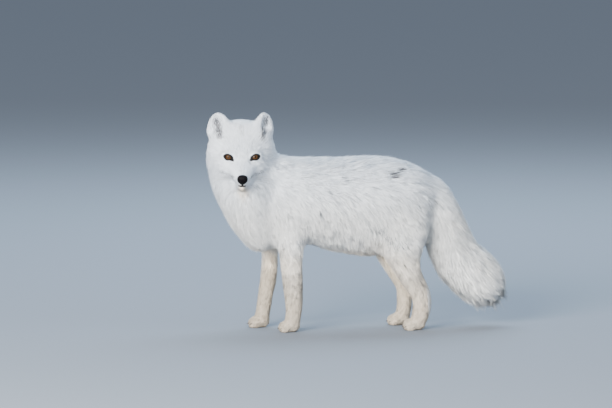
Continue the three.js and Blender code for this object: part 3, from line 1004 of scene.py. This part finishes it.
def horn():
    """Smooth dark claw horn, a little paler towards the root."""
    claw = Finish("horn")
    where = claw.node("TexCoord", {}).outputs["Object"]
    grain = claw.add("TexNoise", {"Scale": 400, "Vector": where})
    tint = claw.ramp(grain, ((0.3, (0.03, 0.025, 0.022)), (0.7, (0.075, 0.064, 0.055))))
    return claw.done(Base_Color=tint, Roughness=0.35)


def make_claws():
    claws = [shape_claw(toe, setback, paw) for paw in PAWS for toe, setback in TOES]
    deselect_all()
    for claw in claws:
        claw.select_set(True)
    bpy.context.view_layer.objects.active = claws[0]
    bpy.ops.object.join()
    finish_piece(claws[0], "claws", horn(), "claw")


make_claws()

# ---- Markings ---------------------------------------------------------------------------------
# Painted light: the coat's white is bluer high up, standing for sky light on the back, and warmer lower
# down.
SKYLIT_WHITE = np.array((0.80, 0.84, 0.89))
WARM_WHITE = np.array((0.84, 0.83, 0.80))
CREAM = np.array((0.78, 0.66, 0.51))
SMOKE = np.array((0.10, 0.10, 0.11))
SLATE = np.array((0.17, 0.18, 0.20))
ASH = np.array((0.42, 0.43, 0.45))
LEG_PAINTED_SHADE = 0.2  # painted shade: how much darker the lower legs are drawn, for the body's shade over them and some dirt
LEG_KINDS = ("forearm", "forepaw", "shank", "hind_foot", "hindpaw")

# Dark hairs among the white, and dark tufts that paint the shade in the ears, along the ruff and
# in the thigh's fold: a line of places, how far from it they reach, their share of the tufts there,
# and their colour. Those of the face are in the head's axes. The others are in millimetres from
# the floor below the middle of the trunk. All but the lone ones have a twin on the other side.
FACE_MARKS = (
    (((49, 43, 50), (38, 40, 38), (28, 37, 28)), 5.4, 0.93, SMOKE),  # in the ears: dark skin, and painted shade in the hollow of each bowl
    (((32, 2, 46), (27, 2, 38), (24, 1.5, 31)), 2.2, 0.6, ASH),  # a thin line up the forehead
    (((-45, 0, -38.5), (-40, 5.5, -39.5), (-34, 8.2, -41.2)), 1.5, 0.7, SMOKE),  # the lips
    (((-34, 8.2, -41.2), (-27, 12, -43), (-19, 14, -46), (-12, 18, -48), (-12, 24, -48)), 2.0, 0.5, SLATE),
    (((-2, 36, -26.5), (-11, 26, -27.5), (-35, 15.6, -25)), 3.0, 0.75, SLATE),  # the rows of whiskers
    (((-42, 0, -16), (-26, 0, -8)), 5.0, 0.16, ASH),  # over the nose
    (((-4, 9, 4), (6, 11, 16)), 3.0, 0.12, ASH),  # the brow
)
LONE_MARKS = (
    (((-242, -24, 361), (-240, -24, 354), (-238, -26, 347), (-239, -39, 342)), 5.0, 0.8, SMOKE),  # an ear: dark skin, and painted shade in the hollow of its bowl
    (((55, -54, 273), (67, -49, 277), (79, -40, 281)), 3.4, 1.0, SMOKE),  # a streak over the rump
    (((56, -58, 269), (64, -57, 268)), 3.2, 1.0, SMOKE),
    (((-118, -40, 289), (-121, -53, 266), (-130, -62, 245), (-141, -61, 224)), 7.0, 0.15, ASH),  # painted shade along the edge of the ruff, where it hangs over the shoulder
)
TRUNK_MARKS = (
    (((37, 66, 172), (44, 67, 160), (60, 70, 150), (78, 71, 146)), 5.5, 0.45, SLATE),  # the thigh's fold: grey hairs, and painted shade in the crease
    (((-104, 61, 157), (-88, 52, 155), (-72, 45, 156)), 4.5, 0.55, ASH),  # behind the elbow
    (((-110, 40, 287), (-70, 64, 262), (-37, 75, 230)), 28.0, 0.09, ASH),  # flecks on the shoulder
    (((-30, 50, 285), (60, 60, 270)), 26.0, 0.05, ASH),
    (((60, 70, 240), (70, 72, 190)), 20.0, 0.05, ASH),
)


def blend(base, other, amount):
    return base + np.asarray(amount)[:, None] * (other - base)


def coat_colour_with_painted_light(points, parts):
    """Colour of the coat's white at each point, with painted light: sky light bluer on the back and shade
    on the legs.
    """
    leg = np.isin(np.array([kind_of(name) for name in FLESH_NODES])[parts], LEG_KINDS)
    x, y, height = from_trunk(points).T
    # painted sky light: bluer white on the back, warmer white below
    colour = blend(np.tile(SKYLIT_WHITE, (len(points), 1)), WARM_WHITE, 1 - smoothstep(165, 270, height))
    # Cream low down is the coat's own tint; the extra cream on the inner faces of the legs stands in part
    # for painted shade between them.
    inner = 1 - smoothstep(22, 40, np.abs(y))
    lower = 1 - smoothstep(25, 125, height)
    cream = (leg | (height < 140)) * (0.5 + 0.4 * lower + 0.5 * inner) * (1 - smoothstep(110, 150, height))
    shin = smoothstep(60, 40, x) * smoothstep(0, 20, x) * smoothstep(90, 120, height)
    cream = np.maximum(cream, 0.35 * shin * (1 - smoothstep(130, 165, height)))
    cream = np.where(x > 120, 0, cream)
    place = head.inside(points)
    chin = from_line(place, [(-46, 0, -44), (-40, 0, -50), (-20, -2, -58), (-20, -3, -66)])
    cream = np.maximum(cream, 0.95 * np.exp(-((chin / 10) ** 2)))
    # painted shade on the lower legs, stronger on the forelegs
    painted_leg_shade = LEG_PAINTED_SHADE * leg * (1 - smoothstep(100, 170, height)) * (1 + 0.5 * (x < 0))
    return blend(colour, CREAM, np.minimum(cream, 1)) * (1 - painted_leg_shade)[:, None]


def dark_tufts_and_painted_shade(points):
    """Share and colour of the dark tufts at each point, one mark after another; some marks are painted
    shade.
    """
    place, spot = folded(head.inside(points)), from_trunk(points)
    mirrored = spot * (1, 0, 1) + (0, 1, 0) * np.abs(spot)
    for where, marks in ((place, FACE_MARKS), (spot, LONE_MARKS), (mirrored, TRUNK_MARKS)):
        for line, reach, share, colour in marks:
            yield share * np.exp(-((from_line(where, line) / reach) ** 2)), colour


# ---- The skin as arrays -----------------------------------------------------------------------
def nearest_parts(places, coarse_tree, parts, coarse_faces):
    """The part of the body that each place belongs to, as a number in FLESH_NODES."""
    nearest = [coarse_tree.find_nearest(place)[2] for place in places]
    return np.array([parts[coarse_faces[face][0]] for face in nearest])


class Hide:
    """The finished skin as triangles, with all that the coat reads from it."""

    def __init__(self, skin, coarse_tree, parts, coarse_faces):
        mesh = skin.data
        mesh.calc_loop_triangles()
        self.corners = read_rows(mesh.loop_triangles, "vertices", 3, np.int64)
        loops = read_rows(mesh.loop_triangles, "loops", 3, np.int64)
        self.uv = read_rows(mesh.uv_layers["OFBake"].uv, "vector", 2)[loops]
        self.points = read_points(mesh)
        self.normals = read_normals(mesh)
        self.tips = get_attribute(mesh, "tips")
        self.lie = get_attribute(mesh, "lie")
        self.sizes = get_attribute(mesh, "sizes")
        bare = read_rows(mesh.attributes["bare"].data, "value", 1)[:, 0]
        self.hairy = bare[self.corners].min(axis=1) > 0
        a, b, c = (self.points[self.corners[:, k]] for k in range(3))
        self.area = np.linalg.norm(np.cross(b - a, c - a), axis=1) / 2 / MM**2
        self.tree = BVHTree.FromPolygons(self.tips.tolist(), self.corners.tolist())
        outer = self.tips[self.corners].mean(axis=1)
        self.parts = nearest_parts(outer, coarse_tree, parts, coarse_faces)
        self.kinds = np.array([kind_of(name) for name in FLESH_NODES])[self.parts]

    def mix(self, values, faces, shares):
        """Values at the corners of faces, mixed by shares."""
        return (values[self.corners[faces]] * shares[..., None]).sum(axis=1)

    def onto_the_tips(self, places):
        """The nearest places on the coat's surface: faces and corner shares."""
        faces = np.empty(len(places), np.int64)
        found = np.empty((len(places), 3))
        for i, place in enumerate(places.tolist()):
            spot, _, faces[i], _ = self.tree.find_nearest(place)
            found[i] = spot
        a, b, c = (self.tips[self.corners[faces, k]] for k in range(3))
        ab, ac, ap = b - a, c - a, found - a
        bb, cc, bc = (ab * ab).sum(1), (ac * ac).sum(1), (ab * ac).sum(1)
        pb, pc = (ap * ab).sum(1), (ap * ac).sum(1)
        base = np.maximum(bb * cc - bc * bc, 1e-18)
        v = np.clip((cc * pb - bc * pc) / base, 0, 1)
        w = np.clip((bb * pc - bc * pb) / base, 0, 1)
        return faces, np.column_stack([1 - v - w, v, w])


# ---- Tufts ------------------------------------------------------------------------------------
PATCH = 0.003  # each tuft's square on the skin's unwrap
SINK = 0.4  # how far a tuft's root is buried in the skin
LOWEST = 0.25 * MM  # no tuft reaches below this

# A tuft's rings between its root and its tip: distance along it, height through the coat and
# share of its full width.
LONG_TUFT = ((0.26, 0.55, 1.0), (0.66, 0.9, 0.8))
SHORT_TUFT = ((0.4, 0.7, 1.0),)

BLADE = ((1.0, 0.0), (0.0, 0.5), (-1.0, 0.0))  # a section: sideways and outward
ROUNDNESS = 0.3  # how much a tuft's own roundness shows against the lie of the whole coat
GUARD_HAIRS = 0.14  # share of longer, thinner tufts that stand past the rest
GUARD_SIZE = (1.3, 0.65)  # their length and width against the others'
WOOL = 0.35  # share of shorter, wider tufts that fill the depth of the coat
WOOL_SIZE = (0.8, 1.3)
BELLY_FALL = 15.0  # how far the longest hair hangs below the rest
LOCK = 7  # tufts in a lock
LOCK_CURVE = 1.2  # above 1, locks close up more towards their tips
SHADE_PER_TILT = 0.2  # how uneven the tone of a piece is against its relief
SHADES = (0.78, 1.12)  # the darkest and the lightest tuft of one tone


class Tufts:
    """Roots, sizes and directions of one piece of the coat."""

    def __init__(self, hide, faces, count, seed, ragged, relief):
        self.hide = hide
        self.relief = relief
        self.random = np.random.default_rng(seed)
        ladder = np.cumsum(hide.area[faces])
        steps = (np.arange(count) + self.random.random(count)) / count * ladder[-1]
        self.faces = faces[np.searchsorted(ladder, steps)]
        u, v = self.random.random((2, count))
        flip = u + v > 1
        u[flip], v[flip] = 1 - u[flip], 1 - v[flip]
        self.shares = np.column_stack([1 - u - v, u, v])
        self.count = count
        self.ragged = ragged

    def place(self, rings, turn, clump):
        """The middle line of every tuft, with the coat's outward direction at each ring."""
        hide, random, count = self.hide, self.random, self.count
        skin = hide.mix(hide.points, self.faces, self.shares)
        tips = hide.mix(hide.tips, self.faces, self.shares)
        normal = unit(hide.mix(hide.normals, self.faces, self.shares))
        lie = hide.mix(hide.lie, self.faces, self.shares)
        sizes = hide.mix(hide.sizes, self.faces, self.shares)
        swing = np.radians(random.normal(0, turn, count))[:, None]
        lie = unit(lie * np.cos(swing) + np.cross(normal, lie) * np.sin(swing))
        guard = random.random(count) < GUARD_HAIRS
        wool = ~guard & (random.random(count) < WOOL)
        self.length = sizes[:, 1] * random.uniform(0.75, 1.25, count)
        self.length *= np.where(guard, GUARD_SIZE[0], np.where(wool, WOOL_SIZE[0], 1))
        self.width = sizes[:, 2] * random.uniform(0.7, 1.3, count)
        self.width *= np.where(guard, GUARD_SIZE[1], np.where(wool, WOOL_SIZE[1], 1))
        reach = (lie * self.length[:, None]) * MM
        top = 1 - self.ragged * random.random(count) ** 1.5 + 0.03
        top += guard * random.uniform(0.05, 0.25, count)
        top *= np.where(wool, random.uniform(0.5, 0.9, count), 1)
        self.seen = tips + reach * 0.6
        lines, outward = [skin - normal * SINK * MM], [normal]
        for along, height, _ in (*rings, (1.0, 1.0, 0.0)):
            faces, shares = hide.onto_the_tips(tips + reach * along)
            low = hide.mix(hide.points, faces, shares)
            high = hide.mix(hide.tips, faces, shares)
            facing = unit(hide.mix(hide.normals, faces, shares))
            straight = tips + reach * along + normal * ((height * top - 1) * sizes[:, 0] * MM)[:, None]
            free = 0.65 * along * smoothstep(0.1, 0.6, -(facing * lie).sum(axis=1))
            round_a_bend = smoothstep(0.25, 0.8, 1 - (facing * normal).sum(axis=1))
            free = np.maximum(free, 0.8 * along * round_a_bend * smoothstep(30, 40, sizes[:, 1]))
            fitted = low + (high - low) * (height * top)[:, None]
            lines.append(fitted + free[:, None] * (straight - fitted))
            outward.append(facing)
        self.hang(lines, normal, sizes)
        self.gather(lines, tips, clump)
        for line in lines[1:]:
            line[:, 2] = np.maximum(line[:, 2], LOWEST)
        return lines, outward

    def hang(self, lines, normal, sizes):
        """Long hair under the belly, the breast and the tail falls a little below the rest."""
        below = smoothstep(0.15, 0.8, -normal[:, 2]) * smoothstep(18, 30, sizes[:, 1])
        fall = BELLY_FALL * below * self.random.random(self.count)
        lines[-1][:, 2] -= fall * MM
        lines[-2][:, 2] -= 0.4 * fall * MM

    def gather(self, lines, roots, clump):
        """Neighbouring tufts lean towards one of their number, which makes locks."""
        leaders = self.random.permutation(self.count)[: self.count // LOCK]
        tree = KDTree(len(leaders))
        for k, leader in enumerate(leaders):
            tree.insert(roots[leader], k)
        tree.balance()
        nearest = leaders[[tree.find(root)[1] for root in roots.tolist()]]
        self.lock = nearest
        for k, line in enumerate(lines[1:], start=1):
            pull = clump * (k / (len(lines) - 1)) ** LOCK_CURVE
            line += pull * (line[nearest] - line)

    def colours(self, lines):
        """The coat's colour for each tuft, painted light included, with dark tufts strewn where the marks
        and the painted shade are.
        """
        random, count = self.random, self.count
        uneven = SHADE_PER_TILT * self.relief
        shade = random.normal(1, uneven, count) * random.normal(1, uneven, count)[self.lock]
        colours = coat_colour_with_painted_light(lines[-1], self.hide.parts[self.faces])
        colours = colours * np.clip(shade, *SHADES)[:, None]
        for share, colour in dark_tufts_and_painted_shade(self.seen):
            dark = random.random(count) < share
            colours[dark] = colour * random.uniform(0.8, 1.4, (dark.sum(), 1))
        return colours

    def mesh_of(self, name, rings, lines, outward, colours):
        """Three-sided blades, closed at the root, one for each middle line."""
        hide, count, steps = self.hide, self.count, len(rings)
        per_tuft = 3 * steps + 2
        tilt = self.random.normal(0, self.relief, (count, 3))[self.lock]
        points = np.empty((count, per_tuft, 3))
        facing = np.empty((count, per_tuft, 3))
        for k, (_, _, share) in enumerate(rings, start=1):
            ahead = unit(lines[k + 1] - lines[k - 1])
            side = unit(np.cross(ahead, outward[k]))
            up = unit(np.cross(side, ahead))
            half = (0.5 * share * self.width * MM)[:, None]
            for corner, (over, rise) in enumerate(BLADE):
                across = side * over + up * rise
                points[:, 3 * k - 2 + corner] = lines[k] + across * half
                facing[:, 3 * k - 2 + corner] = outward[k] + tilt + ROUNDNESS * across
        for end in (0, -1):
            points[:, end] = lines[end]
            facing[:, end] = outward[end] + tilt
        points[:, :, 2] = np.maximum(points[:, :, 2], LOWEST / 2)
        faces = []
        last, tip = 3 * steps - 2, per_tuft - 1
        for a, b in ((0, 1), (1, 2), (2, 0)):
            faces.append((0, 1 + a, 1 + b))
            faces.append((last + a, tip, last + b))
            for low in range(1, last, 3):
                faces.append((low + a, low + 3 + a, low + 3 + b))
                faces.append((low + a, low + 3 + b, low + b))
        faces = np.array(faces)
        corners = (faces[None] + per_tuft * np.arange(count)[:, None, None]).reshape(-1)
        mesh = bpy.data.meshes.new(name)
        mesh.vertices.add(count * per_tuft)
        mesh.vertices.foreach_set("co", points.astype(np.float32).ravel())
        mesh.loops.add(len(corners))
        mesh.loops.foreach_set("vertex_index", corners.astype(np.int32))
        mesh.polygons.add(len(corners) // 3)
        mesh.polygons.foreach_set("loop_start", np.arange(0, len(corners), 3, dtype=np.int32))
        mesh.update(calc_edges=True)
        mesh.polygons.foreach_set("use_smooth", np.ones(len(corners) // 3, bool))
        along = np.zeros(per_tuft)
        across = np.zeros(per_tuft)
        for k, (at, _, _) in enumerate(rings):
            along[3 * k + 1: 3 * k + 4] = at
            across[3 * k + 1: 3 * k + 4] = (-0.5, 0.1, 0.5)
        along[-1] = 1
        root = (hide.uv[self.faces] * self.shares[..., None]).sum(axis=1)
        patch = np.column_stack([across, along - 0.5 + 0.1 * (across == 0.1)]) * PATCH
        places = (root[:, None] + patch[None]).reshape(-1, 2)
        layer = mesh.uv_layers.new(name="OFBake")
        layer.uv.foreach_set("vector", places[corners].astype(np.float32).ravel())
        tone = np.ones((count, per_tuft, 4))
        tone[..., :3] = colours[:, None]
        set_attribute(mesh, "tone", "FLOAT_COLOR", tone)
        set_attribute(mesh, "along", "FLOAT", np.tile(along, count))
        mesh.normals_split_custom_set_from_vertices(unit(facing).reshape(-1, 3).tolist())
        return mesh


def unwrap(skin):
    activate(skin)
    skin.data.uv_layers.new(name="OFBake")
    bpy.ops.object.mode_set(mode="EDIT")
    bpy.ops.mesh.select_all(action="SELECT")
    bpy.ops.uv.smart_project(angle_limit=math.radians(66), island_margin=0.002)
    bpy.ops.object.mode_set(mode="OBJECT")


def winter_coat():
    """White guard hair: the tuft's own tone, with painted shade that makes it a little darker at the root.
    """
    fur = Finish("winter_coat")
    # painted shade: darker towards each tuft's root, for the depth of the coat
    root = fur.ramp(fur.read("along", "Fac"), ((0.0, (0.92, 0.92, 0.92)), (0.6, (1, 1, 1))))
    colour = fur.times(fur.read("tone", "Color"), root)
    return fur.done(Base_Color=colour, Roughness=0.75, Specular_IOR_Level=0.25)


# Each piece of the coat: parts that it grows on, tufts, rings, swing, clumping, raggedness, and
# relief, which is how far its locks face apart.
PIECES = {
    "coat_face": (("muzzle", "lower_jaw"), 15000, SHORT_TUFT, 8, 0.1, 0.15, 0.14),
    "coat_head": (("head",), 32000, SHORT_TUFT, 8, 0.15, 0.15, 0.17),
    "coat_ears": (("ear",), 11000, SHORT_TUFT, 8, 0.1, 0.15, 0.2),
    "coat_ruff": (("neck",), 32000, SHORT_TUFT, 8, 0.3, 0.15, 0.24),
    "coat_shoulders": (("chest", "upper_arm"), 28000, SHORT_TUFT, 10, 0.3, 0.14, 0.32),
    "coat_flanks": (("belly",), 24000, SHORT_TUFT, 10, 0.3, 0.14, 0.32),
    "coat_rump": (("rump", "thigh"), 30000, SHORT_TUFT, 10, 0.3, 0.14, 0.32),
    "coat_tail_root": (("tail_root",), 16000, SHORT_TUFT, 8, 0.4, 0.15, 0.32),
    "coat_tail_brush": (("tail_brush",), 16000, LONG_TUFT, 8, 0.5, 0.2, 0.34),
    "coat_forelegs": (("forearm", "forepaw"), 15000, SHORT_TUFT, 8, 0.2, 0.12, 0.28),
    "coat_hindlegs": (("shank", "hind_foot", "hindpaw"), 15000, SHORT_TUFT, 8, 0.2, 0.12, 0.28),
}


WHISKER = ((0.3, 0.0, 1.0), (0.55, 0.0, 0.8), (0.8, 0.0, 0.5))
WHISKER_ROWS = ((-28.0, 6), (-32.0, 5))  # height and number on each side, in the head's axes
WHISKER_TONE = np.array((0.5, 0.49, 0.47))
WHISKER_LENGTH = (34, 18)  # the shortest, and how much longer the longest is
WHISKER_WIDTH = 0.42
WHISKER_BEND = (0.25, 0, -0.3)
WHISKER_SEED = 90
COAT_SEED = 100  # of the first piece, and one more for each after it


def grow_whiskers(hide, fur):
    """Thin stiff hairs that stand out of the muzzle and bend back and down."""
    roots, ways = [], []
    for side in (LEFT, RIGHT):
        for height, number in WHISKER_ROWS:
            for k in range(number):
                back = k / (number - 1)
                roots.append((-42 + 17 * back, side * (12.5 + 4.5 * back), height - 1.5 * back))
                ways.append((0.15 + 0.55 * back, side * 1.0, 0.1 + 0.02 * (height + 28)))
    whiskers = Tufts(hide, np.arange(len(hide.area)), len(roots), WHISKER_SEED, 0, 0)
    whiskers.faces, whiskers.shares = hide.onto_the_tips(head.world(roots))
    whiskers.lock = np.arange(len(roots))
    whiskers.width = np.full(len(roots), WHISKER_WIDTH)
    shortest, more = WHISKER_LENGTH
    lengths = (shortest + more * whiskers.random.random(len(roots)))[:, None] * MM
    start = hide.mix(hide.points, whiskers.faces, whiskers.shares)
    normal = unit(hide.mix(hide.normals, whiskers.faces, whiskers.shares))
    ways, bend = head.turn(unit(ways)), head.turn(WHISKER_BEND)
    lines, outward = [start - normal * MM], [normal]
    for along in [at for at, _, _ in WHISKER] + [1.0]:
        lines.append(start + (ways * along + bend * along**2) * lengths)
        outward.append(normal)
    colours = WHISKER_TONE * whiskers.random.uniform(0.7, 1.5, (len(roots), 1))
    add_coat_piece("whiskers", whiskers.mesh_of("whiskers", WHISKER, lines, outward, colours), fur)


def add_coat_piece(name, mesh, fur):
    piece = bpy.data.objects.new(name, mesh)
    bpy.context.scene.collection.objects.link(piece)
    mesh.materials.append(fur)
    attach(piece, "root")


def grow_coat(hide):
    fur = winter_coat()
    grow_whiskers(hide, fur)
    for order, (name, row) in enumerate(PIECES.items()):
        kinds, count, rings, turn, clump, ragged, relief = row
        faces = np.flatnonzero(np.isin(hide.kinds, kinds) & hide.hairy)
        tufts = Tufts(hide, faces, count, COAT_SEED + order, ragged, relief)
        lines, outward = tufts.place(rings, turn, clump)
        colours = tufts.colours(lines)
        add_coat_piece(name, tufts.mesh_of(name, rings, lines, outward, colours), fur)


def bare_skin():
    """Between the tufts: short dense wool in the coat's colour, painted light included, dark at the lids
    and lips.
    """
    hide = Finish("bare_skin")
    dark = hide.read("dark", "Fac")
    where = hide.node("TexCoord", {}).outputs["Object"]
    wool = hide.add("TexNoise", {"Scale": 900, "Detail": 3, "Vector": where})
    lift = hide.ramp(wool, ((0.3, (0.9, 0.9, 0.9)), (0.7, (1, 1, 1))))
    woolly = hide.times(hide.read("tone", "Color"), lift)
    colour = hide.mixed(dark, woolly, (0.004, 0.003, 0.003, 1))
    gloss = hide.add("MapRange", {"To Min": 0.85, "To Max": 0.6, "Value": dark})
    hide.bump(wool, 0.4, 0.4)
    return hide.done(Base_Color=colour, Roughness=gloss, Specular_IOR_Level=0.2)


def finish_skin(skin):
    mesh = skin.data
    points = read_points(mesh)
    outer = get_attribute(mesh, "tips")
    parts = nearest_parts(outer.tolist(), tips_tree, part_of_point, coarse_faces)
    tone = np.ones((len(points), 4))
    colour = coat_colour_with_painted_light(outer, parts)
    for share, dark in dark_tufts_and_painted_shade(outer):
        colour = blend(colour, dark, 0.8 * share)
    tone[:, :3] = colour
    set_attribute(mesh, "tone", "FLOAT_COLOR", tone)
    mesh.materials.clear()
    mesh.materials.append(bare_skin())


unwrap(skin)
hide = Hide(skin, tips_tree, part_of_point, coarse_faces)
grow_coat(hide)

deselect_all()
skin.select_set(True)
bpy.ops.object.shade_smooth()
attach(skin, "root")
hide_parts(*FLESH_NODES)
finish_skin(skin)
